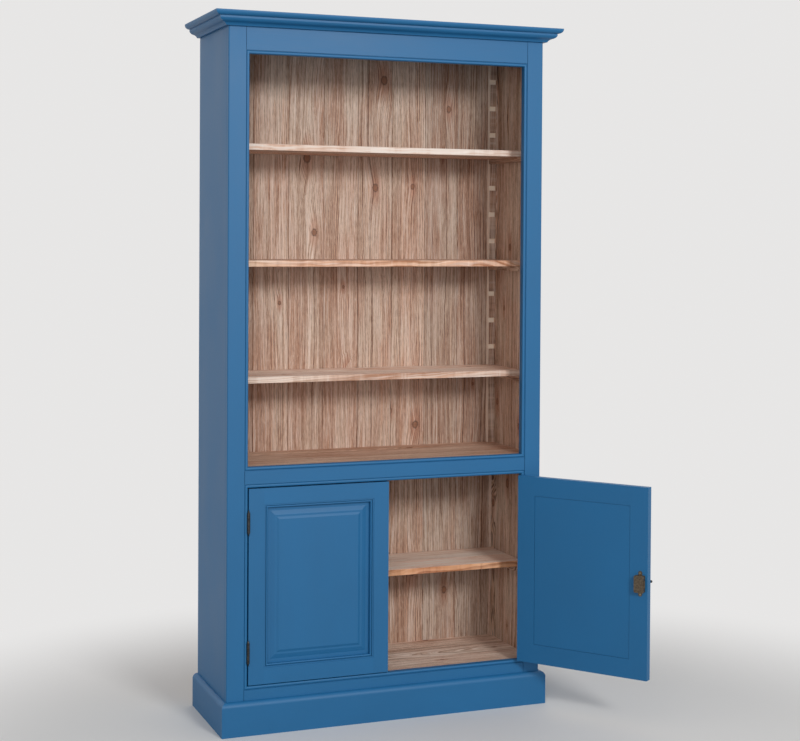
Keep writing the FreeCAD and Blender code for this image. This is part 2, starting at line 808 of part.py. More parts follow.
def door_rail(side, which):
    """A rail with tenons in the stiles, and a moulding mitred to theirs."""
    label = f"{side}_door_{which}_rail"
    body = new_body(label)
    edge, upward = rail_edges[which]
    section = moved(frame_section(door_rail_width), (door_front, edge), up=upward, swap=True)
    start = door_start + door_stile_width - moulding_width
    end = door_end - door_stile_width + moulding_width
    offset = start if side == "left" else -end
    pad(body, sketch_on(body, "YZ_Plane", [section], offset=offset), end - start)
    step_level = edge + upward * (door_rail_width - moulding_width)
    sight_level = edge + upward * door_rail_width
    mitres = [[(start, step_level), (start + moulding_width, sight_level), (start, sight_level)],
              [(end, step_level), (end - moulding_width, sight_level), (end, sight_level)]]
    pocket_through(body, sketch_on(body, "XZ_Plane", mitres, towards(side)))
    front = door_front + (door_thickness - tenon_thickness) / 2
    low, high = door_tenon_levels(edge, upward)
    tenon = rectangle(front, low, front + tenon_thickness, high)
    sketch = sketch_on(body, "YZ_Plane", [tenon], offset=offset - tenon_length)
    pad(body, sketch, end - start + 2 * tenon_length)
    return keep(label, hang(side, body))


def door_panel(side):
    """A raised panel: tongue, flat margin, two slopes with a ledge between, field and back slab."""
    sight_start, sight_end = door_start + door_stile_width, door_end - door_stile_width
    sight_low, sight_high = door_bottom + door_rail_width, door_top - door_rail_width
    margin_face = door_front + groove_from_front
    tongue_back = margin_face + groove_width
    ledge_face = margin_face - panel_slope_rise
    field_face = ledge_face - field_rise
    slope_end = panel_margin + panel_slope
    field_slope_start = slope_end + panel_ledge

    def layer(front, back, inset, name):
        return door_block(side, (sight_start + inset, front, sight_low + inset),
                          (sight_end - inset, back, sight_high - inset), name)

    def slope(front, back, front_inset, back_inset, name):
        """A block whose four edges slope back from one inset to another."""
        across = (sight_start, sight_end) if side == "left" else (-sight_end, -sight_start)
        bounds = {"Ymin": front, "Ymax": back,
                  "Xmin": across[0] + front_inset, "Xmax": across[1] - front_inset,
                  "Zmin": sight_low + front_inset, "Zmax": sight_high - front_inset,
                  "X2min": across[0] + back_inset, "X2max": across[1] - back_inset,
                  "Z2min": sight_low + back_inset, "Z2max": sight_high - back_inset}
        thing = doc.addObject("Part::Wedge", name)
        for bound, length in bounds.items():
            bind(thing, bound, length)
        return thing

    panel = fuse([
        layer(margin_face, tongue_back, -panel_tongue, f"{side}_panel_tongue"),
        layer(tongue_back, door_back - panel_back_sink, panel_back_gap, f"{side}_panel_rear"),
        slope(ledge_face, margin_face, slope_end, panel_margin, f"{side}_panel_slope"),
        slope(field_face, ledge_face, field_slope_start + field_slope, field_slope_start,
              f"{side}_field_slope"),
    ], f"{side}_door_panel")
    return keep(f"{side}_door_panel", hang(side, panel))


def screw(base, axis, length=screw_length, radius=screw_radius, head=screw_head_radius):
    """A countersunk wood screw: the middle of its head's face, and the way it points."""
    step = -1 if axis.startswith("-") else 1
    along = "xyz".index(axis[-1])
    neck = list(base)
    neck[along] = neck[along] + step * screw_head_depth
    return fuse([cone(head, radius, screw_head_depth, base, axis, "screw_head"),
                 rod(radius, length - screw_head_depth, neck, axis, "screw_shank")], "screw")


def hinge_leaf(side, middle, on_door, screws, name):
    """One leaf about the hinge line; the frame's has the two outer knuckles, the door's one."""
    inward = towards(side) if on_door else -towards(side)
    knuckle = (hinge_height - 2 * knuckle_gap) / 3
    bottom = middle - hinge_height / 2
    inner, outer = door_start - leaf_thickness, door_start
    start, end = (inner, outer) if inward == 1 else (-outer, -inner)
    clear = hinge_radius + barrel_room
    pieces = [block((start, clear, bottom), (end, leaf_width, bottom + hinge_height), f"{name}_plate")]
    for step in ([1] if on_door else [0, 2]):
        foot = bottom + step * (knuckle + knuckle_gap)
        pieces.append(block((start, 0, foot), (end, clear, foot + knuckle), f"{name}_tab"))
        pieces.append(rod(hinge_radius, knuckle, (0, 0, foot), name=f"{name}_knuckle"))
    bore = hinge_pin_radius + (pin_fit if on_door else 0)
    bored = rod(bore, hinge_height, (0, 0, bottom), name=f"{name}_bore")
    holes = fuse([bored, *screws], f"{name}_holes")
    return cut(fuse(pieces, f"{name}_blank"), holes, name)


def hinge_screws(side, middle, on_door):
    inward = towards(side) if on_door else -towards(side)
    face = inward * (door_start - leaf_thickness)
    depth = (hinge_radius + barrel_room + leaf_width) / 2
    axis = "x" if inward == 1 else "-x"
    return [screw((face, depth, middle + step * hinge_screw_spacing / 2), axis) for step in (-1, 1)]


def hinge_pin(side, middle):
    """A pin with a pointed finial on each end."""
    body = new_body(f"hinge_pin_{side}")
    half = hinge_height / 2
    profile = [(0, -half - finial_height), (finial_radius, -half - finial_rim),
               (finial_radius, -half), (hinge_pin_radius, -half), (hinge_pin_radius, half),
               (finial_radius, half), (finial_radius, half + finial_rim), (0, half + finial_height)]
    sketch = sketch_on(body, "XZ_Plane", [profile])
    feature = body.newObject("PartDesign::Revolution", f"{body.Name}_turned")
    feature.Profile = sketch
    feature.ReferenceAxis = (sketch, ["V_Axis"])
    feature.Angle = 360
    return place(body, sides[side] * hinge_line, -hinge_proud, middle)


def barrel_cove(middle):
    """The hollow in a door stile's corner in which a hinge's barrel turns."""
    half = hinge_height / 2 + finial_height + finial_room
    return rod(hinge_radius + barrel_room, 2 * half, (0, 0, middle - half), name="barrel_cove")


def meeting_strip():
    """The strip on the left door's back that the right door closes on; its lap is relieved."""
    body = new_body("meeting_strip")
    start = door_end + meeting_strip_lap - meeting_strip_width
    end = door_end + meeting_strip_lap
    rear = door_back + meeting_strip_thickness
    soft = meeting_strip_round
    plan = [(start, door_back), (door_end, door_back), (door_end, door_back + meeting_strip_relief),
            (end, door_back + meeting_strip_relief), (end, rear - soft, soft), (end - soft, rear),
            (start + soft, rear, soft), (start, rear - soft)]
    sketch = sketch_on(body, "XY_Plane", [plan], towards("left"), door_bottom + meeting_strip_setback)
    pad(body, sketch, door_height - 2 * meeting_strip_setback)
    return keep("meeting_strip", hang("left", body))


def barrel_bolt():
    """A plate with two guides, and the rod that slides up behind the middle rail."""
    plate_top = door_top - bolt_plate_drop
    plate_bottom = plate_top - bolt_plate_height
    plate_end = door_end + meeting_strip_lap - meeting_strip_width - bolt_plate_setback
    centre = plate_end - bolt_plate_width / 2
    plate_back = door_back + bolt_plate_thickness
    rod_line = plate_back + rod_lift + rod_radius
    guide_radius = rod_radius + rod_fit + rod_wall
    stroke = rod_travel + 2 * (rod_stem_radius + rod_stem_room)
    upper_guide = plate_top - guide_from_top - guide_height
    lower_guide = upper_guide - stroke - guide_height
    screw_reach = bolt_plate_width / 2 - bolt_screw_inset
    screws = [screw((centre + step * screw_reach, plate_back, level), "-y",
                    small_screw_length, small_screw_radius, small_head_radius)
              for step in (-1, 1)
              for level in (plate_bottom + bolt_screw_from_end, plate_top - bolt_screw_from_end)]
    pieces = [block((centre - bolt_plate_width / 2, door_back, plate_bottom),
                    (centre + bolt_plate_width / 2, plate_back, plate_top), "bolt_plate_flat")]
    for level in (lower_guide, upper_guide):
        pieces.append(block((centre - guide_radius, plate_back, level),
                            (centre + guide_radius, rod_line, level + guide_height), "bolt_guide_foot"))
        pieces.append(rod(guide_radius, guide_height, (centre, rod_line, level), name="bolt_guide_arch"))
    bore = rod(rod_radius + rod_fit, bolt_plate_height, (centre, rod_line, plate_bottom),
               name="bolt_bore")
    holes = fuse([bore, *screws], "bolt_plate_holes")
    plate = cut(fuse(pieces, "bolt_plate_blank"), holes, "bolt_plate")
    keep("barrel_bolt_plate", hang("left", plate))
    stem_level = lower_guide + guide_height + rod_stem_room + rod_stem_radius
    rod_bottom = door_top - rod_below_top - rod_length
    slider = fuse([rod(rod_radius, rod_length, (centre, rod_line, rod_bottom)),
                   rod(rod_stem_radius, rod_stem_length, (centre, rod_line, stem_level), "y"),
                   ball(rod_ball_radius, (centre, rod_line + rod_stem_length, stem_level))], "bolt_rod")
    keep("barrel_bolt_rod", hang("left", slider))
    return screws


def latch_place(across=0, level=0):
    """Across and up from the latch's centre, in the right door's frame."""
    return towards("right") * (latch_centre + across), latch_level + level


def latch_case():
    """A shallow iron box on the door's back, open towards the door, with a screw ear each end."""
    body = new_body("latch_case")
    middle, level = latch_place()
    half_wide, half_high = case_width / 2, case_height / 2
    outer = rounded_rectangle(middle - half_wide, level - half_high,
                              middle + half_wide, level + half_high, case_round)
    pad(body, sketch_on(body, "XZ_Plane", [outer], offset=door_back), case_depth, backwards=True)
    inner = rounded_rectangle(middle - half_wide + case_wall, level - half_high + case_wall,
                              middle + half_wide - case_wall, level + half_high - case_wall,
                              case_round - case_wall)
    pocket(body, sketch_on(body, "XZ_Plane", [inner], offset=door_back), case_depth - case_wall)
    root, tip = half_high - case_wall / 2, half_high + ear_reach
    ear = [(-ear_radius, root), (ear_radius, root), (ear_radius, tip, ear_radius),
           (0, tip + ear_radius, ear_radius), (-ear_radius, tip)]
    ears = [moved(ear, (middle, level), up=up) for up in (-1, 1)]
    pad(body, sketch_on(body, "XZ_Plane", ears, offset=door_back), ear_thickness, backwards=True)
    half_slot = bolt_height / 2 + bolt_fit
    slot = rectangle(bolt_front - bolt_fit, level - half_slot, bolt_back + bolt_fit, level + half_slot)
    pocket(body, sketch_on(body, "YZ_Plane", [slot], offset=middle), case_width)
    return body


def latch_screws():
    screws = []
    for up in (-1, 1):
        across, level = latch_place(0, up * (case_height / 2 + ear_reach))
        screws.append(screw((across, door_back + ear_thickness, level), "-y"))
    return screws


def latch_bolt():
    """The sliding tongue, slotted for the crank's pin."""
    body = new_body("latch_bolt")
    pin_at = -crank_offset
    tail = pin_at - bolt_tail
    tip = case_width / 2 + bolt_show
    half_slot = crank_pin_radius + crank_play
    outer = [latch_place(tip, -bolt_height / 2), latch_place(tail, -bolt_height / 2),
             latch_place(tail, bolt_height / 2), latch_place(tip, bolt_height / 2)]
    low, high = crank_offset - half_slot, crank_radius + half_slot
    slot = [latch_place(pin_at + half_slot, low), latch_place(pin_at - half_slot, low),
            latch_place(pin_at - half_slot, high), latch_place(pin_at + half_slot, high)]
    sketch = sketch_on(body, "XZ_Plane", [outer, slot], offset=bolt_front)
    pad(body, sketch, bolt_thickness, backwards=True)
    return keep("latch_bolt", hang("right", body))


def turn_knob():
    """The T-shaped knob, with the spindle through the door and the crank inside the case."""
    across, level = latch_place()
    rose_face = door_front - rose_thickness
    bar_line = rose_face - knob_neck_length
    half_bar = knob_bar_length / 2 - knob_bar_radius
    disc = crank_radius + crank_pin_radius + crank_rim
    pin_across, pin_level = latch_place(-crank_offset, crank_offset)
    pieces = [
        rod(knob_bar_radius, 2 * half_bar, (across - half_bar, bar_line, level), "x", "knob_bar"),
        ball(knob_bar_radius, (across - half_bar, bar_line, level), "knob_end"),
        ball(knob_bar_radius, (across + half_bar, bar_line, level), "knob_end"),
        cone(spindle_radius, knob_neck_radius, knob_neck_length - knob_gap,
             (across, bar_line, level), "y", "knob_neck"),
        rod(spindle_radius, crank_back - bar_line, (across, bar_line, level), "y", "spindle"),
        rod(disc, crank_thickness, (across, crank_back - crank_thickness, level), "y", "crank"),
        rod(crank_pin_radius, bolt_back - crank_back, (pin_across, crank_back, pin_level), "y",
            "crank_pin"),
    ]
    return keep("turn_knob", hang("right", fuse(pieces, "knob")))


def spindle_bore():
    """The hole through the door's stile in which the spindle turns."""
    across, level = latch_place()
    return rod(spindle_radius + spindle_room, door_thickness, (across, door_front, level), "y",
               "spindle_bore")


def knob_rose():
    across, level = latch_place()
    face = door_front - rose_thickness
    bore = rod(spindle_radius + pin_fit, rose_thickness, (across, face, level), "y", "rose_bore")
    disc = rod(rose_radius, rose_thickness, (across, face, level), "y", "rose_disc")
    return keep("knob_rose", hang("right", cut(disc, bore, "rose")))


# ---------------------------------------------------------------- the bookcase

def finish_stile(side, which, holes):
    """A door stile with its mortises and everything that is bored or hollowed in it."""
    label = f"{side}_door_{which}_stile"
    tools = fuse(door_mortises(side, which) + holes, f"{label}_holes")
    return keep(label, hang(side, cut(door_stile(side, which), tools, label)))


def build_carcass():
    for side in sides:
        side_panel(side)
    for label, levels in rail_tenon_levels().items():
        face_rail(label, *levels)
    group("upper_opening_bead", list(opening_beads("upper", upper_sill_level,
                                                   header_bottom - bead_width).values()))
    mitred_front("cornice_front", ogee_section(), ogee_reach, carcass_top - ogee_height)
    mitred_front("plinth_front", plinth_section(), plinth_thickness, 0)
    for side in sides:
        mitred_side(f"cornice_{side}", side, ogee_section(), ogee_reach, carcass_top - ogee_height)
        mitred_side(f"plinth_{side}", side, plinth_section(), plinth_thickness, 0)
    cap_board()
    back_boards()
    fixed_board("cupboard_floor", cupboard_floor_level)
    fixed_board("middle_board", middle_board_level)


def build_shelves():
    for side in sides:
        notched_strip(f"shelf_strip_front_{side}", side, at_back=False)
        notched_strip(f"shelf_strip_rear_{side}", side, at_back=True)
    cleats = []
    for label, notch in SHELF_NOTCHES.items():
        underside = middle_board_level + first_notch_height + notch * notch_spacing
        shelf(label, underside, corner_notches=True)
        cleats += cleat_pair(f"{label}_cleat", underside, frame_thickness + strip_depth - notch_depth,
                             back_face - strip_depth + notch_depth)
    group("upper_shelf_cleats", cleats)
    underside = cupboard_floor_level + cupboard_shelf_height
    shelf("cupboard_shelf", underside, corner_notches=False)
    front = back_face - shelf_fit - shelf_depth + cupboard_cleat_inset
    group("cupboard_shelf_cleats", cleat_pair("cupboard_cleat", underside, front, back_face))


def build_frame_side_of_hinges():
    """Leaves, screws and pins on the face frame, and the frame pieces that the screws enter."""
    beads = opening_beads("door_opening", door_sill_level, door_head_level)
    leaves, screws, pins = [], [], []
    for side in sides:
        own_screws = []
        for middle in hinge_levels:
            pair = hinge_screws(side, middle, on_door=False)
            leaf = hinge_leaf(side, middle, False, pair, f"{side}_frame_leaf")
            leaves.append(place(leaf, sides[side] * hinge_line, -hinge_proud, 0))
            pins.append(hinge_pin(side, middle))
            own_screws += pair
        set_of_screws = fuse(own_screws, f"{side}_frame_screws")
        place(set_of_screws, sides[side] * hinge_line, -hinge_proud, 0)
        screws.append(set_of_screws)
        beads[side] = cut(beads[side], set_of_screws, f"door_bead_{side}")
        keep(f"face_stile_{side}", cut(face_stile(side), set_of_screws, f"stile_{side}"))
    group("door_opening_bead", list(beads.values()))
    group("hinge_frame_leaves", leaves)
    group("hinge_frame_screws", screws)
    group("hinge_pins", pins)


def build_door(side, meeting_holes, own_screws):
    """A door's frame, panel, hinge leaves and screws."""
    leaves, leaf_screws = [], []
    for middle in hinge_levels:
        pair = hinge_screws(side, middle, on_door=True)
        leaves.append(hinge_leaf(side, middle, True, pair, f"{side}_door_leaf"))
        leaf_screws += pair
    finish_stile(side, "hinge", [barrel_cove(middle) for middle in hinge_levels] + leaf_screws)
    finish_stile(side, "meeting", meeting_holes)
    for which in ("top", "bottom"):
        door_rail(side, which)
    door_panel(side)
    hang(side, group(f"{side}_door_hinge_leaves", leaves))
    hang(side, group(f"{side}_door_screws", leaf_screws + own_screws))


build_carcass()
build_shelves()
build_frame_side_of_hinges()
bolt_screws = barrel_bolt()
build_door("left", bolt_screws, bolt_screws)
meeting_strip()
ear_screws = latch_screws()
build_door("right", ear_screws + [spindle_bore()], ear_screws)
keep("latch_case", hang("right", cut(latch_case(), fuse(latch_screws(), "ear_holes"), "case")))
knob_rose()
turn_knob()
latch_bolt()
doc.recompute()

# ---------------------------------------------------------------- checks and files

for thing in doc.Objects:
    if "Invalid" in thing.State or "Error" in thing.State:
        raise RuntimeError(f"{thing.Name} ({thing.Label}) failed: {thing.State}")
for label, thing in parts.items():
    if thing.Shape.isNull() or not thing.Shape.isValid() or not thing.Shape.Solids:
        raise RuntimeError(f"{label} has no valid shape")

os.makedirs("parts", exist_ok=True)
for label, thing in parts.items():
    thing.Shape.exportStep(f"parts/{label}.step")
    box = thing.Shape.BoundBox
    print(f"{label}: {len(thing.Shape.Solids)} solids, {thing.Shape.Volume / 1000:.1f} cm3, "
          f"x {box.XMin:.1f} to {box.XMax:.1f}, y {box.YMin:.1f} to {box.YMax:.1f}, "
          f"z {box.ZMin:.1f} to {box.ZMax:.1f}")
print(f"{len(parts)} nodes")
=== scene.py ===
"""The looks of a painted pine bookcase: washed pine inside, satin blue outside, bronze fittings."""

from collections import namedtuple
import math

import bpy
from mathutils import Matrix, Vector


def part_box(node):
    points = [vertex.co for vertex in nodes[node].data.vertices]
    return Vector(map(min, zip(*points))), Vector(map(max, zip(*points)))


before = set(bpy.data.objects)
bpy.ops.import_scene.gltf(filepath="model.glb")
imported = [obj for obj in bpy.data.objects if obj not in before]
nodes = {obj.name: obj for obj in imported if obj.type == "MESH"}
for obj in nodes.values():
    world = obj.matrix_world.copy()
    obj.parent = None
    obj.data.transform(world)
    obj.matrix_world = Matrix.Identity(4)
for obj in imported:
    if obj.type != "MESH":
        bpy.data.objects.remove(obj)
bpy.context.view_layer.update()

MM = 0.001


# ---------------------------------------------------------------- node trees

class Tree:
    """Builds one node tree. Inputs are given as sockets to link or as plain values."""

    MIX_UNDER, MIX_OVER, MIX_RESULT = 6, 7, 2  # a Mix node's colour sockets

    def __init__(self, tree):
        self.tree = tree

    def add(self, kind, settings=None, **inputs):
        """A node with its settings; an input's underscores stand for the spaces in its name."""
        made = self.tree.nodes.new(kind)
        for name, value in (settings or {}).items():
            setattr(made, name, value)
        for name, value in inputs.items():
            self.feed(made.inputs[name.replace("_", " ")], value)
        return made

    def feed(self, socket, value):
        if isinstance(value, bpy.types.NodeSocket):
            self.tree.links.new(value, socket)
        else:
            socket.default_value = value

    def work_out(self, operation, *values, clamp=False):
        made = self.add("ShaderNodeMath", {"operation": operation, "use_clamp": clamp})
        for socket, value in zip(made.inputs, values):
            self.feed(socket, value)
        return made.outputs[0]

    def in_turn(self, operation, values, clamp):
        """Works values together from the left; clamp keeps the last result within 0 to 1."""
        result, *rest = values
        for count, value in enumerate(rest, 1):
            result = self.work_out(operation, result, value, clamp=clamp and count == len(rest))
        return result

    def plus(self, *values, clamp=False):
        return self.in_turn("ADD", values, clamp)

    def times(self, *values, clamp=False):
        return self.in_turn("MULTIPLY", values, clamp)

    def minus(self, *values):
        return self.in_turn("SUBTRACT", values, False)

    def over(self, value, divisor):
        return self.work_out("DIVIDE", value, divisor)

    def larger(self, *values):
        return self.in_turn("MAXIMUM", values, False)

    def square(self, value):
        return self.work_out("POWER", value, 2.0)

    def distance(self, first, second):
        return self.work_out("SQRT", self.plus(self.square(first), self.square(second)))

    def swing(self, draw, span):
        """A draw from 0 to 1 as a shift of up to half of span either way."""
        return self.times(self.minus(draw, 0.5), span)

    def vector(self, across=0.0, through=0.0, along=0.0):
        return self.add("ShaderNodeCombineXYZ", X=across, Y=through, Z=along).outputs[0]

    def split(self, vector):
        return self.add("ShaderNodeSeparateXYZ", Vector=vector).outputs

    def noise(self, vector, scale=1.0, detail=2.0, roughness=0.5):
        return self.add("ShaderNodeTexNoise", Vector=vector, Scale=scale, Detail=detail,
                        Roughness=roughness, Distortion=0.0).outputs["Fac"]

    def drawn_out(self, across, through, along, mark):
        """Noise drawn out along the grain, as one of the marks listed with the shared effects."""
        place = self.vector(self.times(across, mark.across), through, self.times(along, mark.along))
        return self.noise(place, 1.0, mark.detail, mark.roughness)

    def steps(self, value, low, high, to_low=0.0, to_high=1.0):
        """A smooth change from to_low to to_high as value goes from low to high."""
        made = self.add("ShaderNodeMapRange", {"interpolation_type": "SMOOTHSTEP"})
        for socket, given in zip(made.inputs, (value, low, high, to_low, to_high)):
            self.feed(socket, given)
        return made.outputs[0]

    def blend(self, mask, under, over, kind="MIX"):
        made = self.add("ShaderNodeMix", {"data_type": "RGBA", "blend_type": kind})
        self.feed(made.inputs["Factor"], mask)
        self.feed(made.inputs[self.MIX_UNDER], under)
        self.feed(made.inputs[self.MIX_OVER], over)
        return made.outputs[self.MIX_RESULT]

    def shaded(self, tone, shade):
        """A colour made darker or lighter by a plain number."""
        grey = self.add("ShaderNodeCombineColor", Red=shade, Green=shade, Blue=shade).outputs[0]
        return self.blend(1.0, tone, grey, "MULTIPLY")


def new_group(name, inputs, outputs):
    """A shader node group; inputs maps each name to its default, outputs each name to its kind."""
    group = bpy.data.node_groups.new(name, "ShaderNodeTree")
    for label, value in inputs.items():
        kind = "NodeSocketFloat" if isinstance(value, float) else "NodeSocketColor"
        socket = group.interface.new_socket(name=label, in_out="INPUT", socket_type=kind)
        socket.default_value = value
    for label, kind in outputs.items():
        group.interface.new_socket(name=label, in_out="OUTPUT", socket_type=kind)
    tree = Tree(group)
    entry = group.nodes.new("NodeGroupInput").outputs
    leave = group.nodes.new("NodeGroupOutput").inputs
    return group, tree, entry, leave


def colour(red, green, blue):
    """A colour given as it looks on a screen, 0 to 255, as linear values."""
    def linear(part):
        part /= 255.0
        return part / 12.92 if part <= 0.04045 else ((part + 0.055) / 1.055) ** 2.4
    return linear(red), linear(green), linear(blue), 1.0


# ---------------------------------------------------------------- shared effects

# Marks drawn out along the grain: how often each repeats per millimetre across and along.
Mark = namedtuple("Mark", "across along detail roughness")
RIPPLE = Mark(0.02, 0.0035, 3.0, 0.5)
THREAD = Mark(0.75, 0.007, 4.0, 0.66)
FLECK = Mark(0.42, 0.05, 3.0, 0.6)
STREAK = Mark(0.075, 0.0011, 3.0, 0.6)
PATCH = Mark(0.012, 0.0028, 3.0, 0.55)
BRUSH_MARK = Mark(0.55, 0.014, 3.0, 0.6)
CLOUD = Mark(0.006, 0.0035, 3.0, 0.5)
PORE = Mark(0.28, 0.01, 4.0, 0.7)

# The tree that a board is cut from, in millimetres: how far aside its heart may lie and how far
# that wanders, how deep it may lie and how far that sinks, the rings' ripples and their width.
HEART_ASIDE, HEART_WANDER = 420.0, 70.0
HEART_DEPTH, HEART_SINKING = 34.0, 62.0
RIPPLE_HEIGHT = 15.0
NARROW_RING, RING_SPREAD = 2.9, 2.2
UNEVEN_YEARS = 6.0  # good and poor years shift the rings by up to this many
WANDER_ALONG, SINKING_ALONG, YEARS_ACROSS = 0.0008, 0.0017, 0.05  # repeats per millimetre

# Steps in the noise from one piece, and from one board, to the next. Other numbers beside or added
# to a seed only keep one noise apart from another.
PIECE_STEP, BOARD_STEP, PAINT_STEP = 17.31, 5.77, 11.7

# How much each mark darkens the pine, and how strong the warm patches are.
THREAD_DARK, FLECK_DARK, STREAK_DARK, PATCH_WARM = 0.36, 0.38, 0.14, 0.65
PATCH_COLOUR = colour(222, 180, 152)
FLECK_WHITE = 0.4
BOARD_TONES = 0.28
JOINT_COLOUR = colour(92, 64, 48)
THREAD_RAISED, LATE_SUNK, JOINT_SUNK, KNOT_RAISED = 0.5, 0.3, 0.6, 0.3

# Knots, in millimetres. Each cell across and along a board holds one at most.
KNOT_CELL = (95.0, 330.0)
KNOT_SCATTER = 0.8
SMALL_KNOT, KNOT_SPREAD = 3.4, 7.0
KNOT_RING = 1.7
BOARD_SHIFT = 1900.0  # so that knots on neighbouring boards don't lie in rows
KNOT_OVAL, KNOT_FLOW = 0.74, 0.3  # lengthways distances count for less
KNOT_EVEN, KNOT_UNEVEN = 0.6, 0.8
KNOT_PUSH, KNOT_PUSH_REACH = 1.6, 2.9  # in knot radii
PALE_RING, KNOT_HALO, KNOT_RIM = colour(160, 106, 74), colour(206, 146, 108), colour(70, 44, 32)
HALO_SHARE, HEARTWOOD_SHARE, RIM_SHARE = 0.5, 0.85, 0.65

# Paint: its least roughness and shade, and how much clouds, brush marks and pores change them.
PAINT_ROUGHNESS, CLOUD_ROUGH, BRUSH_ROUGH = 0.42, 0.14, 0.08
PAINT_SHADE, CLOUD_SHADE, BRUSH_SHADE, PORE_SHADE = 0.9, 0.22, 0.07, 0.04
PORE_SUNK = 0.8

# Bronze: how often its tarnish and its scuffs repeat per metre, and how strong the scuffs are.
TARNISH_SCALE, SCUFF_SCALE, SCUFF_SHARE = 220.0, 900.0, 0.35


def random_draw(tree, number):
    """Four draws from 0 to 1 that stay the same for one number."""
    made = tree.add("ShaderNodeTexWhiteNoise", {"noise_dimensions": "1D"}, W=number).outputs
    return [made["Value"], *tree.split(made["Color"])]


def knots(tree, across, along, seed, share):
    """Where knots lie: how far each place is from the nearest, the same drawn out as the grain
    flows round it, its radius, and whether it exists."""
    cell_wide, cell_long = KNOT_CELL
    grid = tree.vector(tree.over(across, cell_wide), seed, tree.over(along, cell_long))
    cells = tree.add("ShaderNodeTexVoronoi", {"feature": "F1", "voronoi_dimensions": "3D"},
                     Vector=grid, Scale=1.0, Randomness=KNOT_SCATTER)
    offset = tree.add("ShaderNodeVectorMath", {"operation": "SUBTRACT"})
    tree.feed(offset.inputs[0], grid)
    tree.feed(offset.inputs[1], cells.outputs["Position"])
    aside, _, lengthways = tree.split(offset.outputs[0])
    aside = tree.times(aside, cell_wide)
    lengthways = tree.times(lengthways, cell_long)
    chance, size, _ = tree.split(cells.outputs["Color"])
    present = tree.work_out("LESS_THAN", chance, share)
    radius = tree.plus(tree.times(tree.square(size), KNOT_SPREAD), SMALL_KNOT)
    uneven = tree.times(tree.noise(tree.vector(aside, seed, lengthways), 0.2, 2.0), KNOT_UNEVEN)
    away = tree.distance(aside, tree.times(lengthways, KNOT_OVAL))
    away = tree.times(away, tree.plus(uneven, KNOT_EVEN))
    flow = tree.distance(aside, tree.times(lengthways, KNOT_FLOW))
    return away, flow, radius, present


def from_heart(tree, entry, seed, inside_board, side, deep):
    """How far each place lies from the heart of its tree, which is beside and behind the board, so
    that most rings run straight."""
    along = entry["Along"]
    drift = tree.noise(tree.vector(seed, 1.3, tree.times(along, WANDER_ALONG)), 1.0, 1.0)
    beside = tree.minus(inside_board, tree.swing(side, HEART_ASIDE),
                        tree.swing(drift, HEART_WANDER))
    sink = tree.noise(tree.vector(seed, 7.9, tree.times(along, SINKING_ALONG)), 1.0, 1.0)
    depth = tree.plus(tree.times(deep, HEART_DEPTH), tree.times(sink, HEART_SINKING))
    beneath = tree.plus(tree.minus(entry["Through"], entry["Face"]), depth)
    ripple = tree.drawn_out(entry["Across"], seed, along, RIPPLE)
    return tree.plus(tree.distance(beside, beneath), tree.swing(ripple, RIPPLE_HEIGHT))


def mark_knots(tree, wood, knot, away, flow, radius, present):
    """Lays knots on the wood: a warm halo, a red-brown heart with rings, and a dark rim. Also gives
    a mask of the hearts."""
    ratio = tree.over(away, radius)
    inside = tree.times(tree.steps(ratio, 0.85, 1.15, 1.0, 0.0), present)
    turns = tree.work_out("FRACT", tree.over(away, KNOT_RING))
    heartwood = tree.blend(tree.steps(turns, 0.3, 0.9), knot, PALE_RING)
    rim = tree.times(tree.steps(ratio, 0.7, 1.0), tree.steps(ratio, 1.05, 1.5, 1.0, 0.0))
    halo = tree.steps(tree.over(flow, radius), 0.9, 3.2, 1.0, 0.0)
    wood = tree.blend(tree.times(halo, present, HALO_SHARE), wood, KNOT_HALO, "MULTIPLY")
    wood = tree.blend(tree.times(inside, HEARTWOOD_SHARE), wood, heartwood)
    wood = tree.blend(tree.times(rim, present, RIM_SHARE), wood, KNOT_RIM)
    return wood, inside


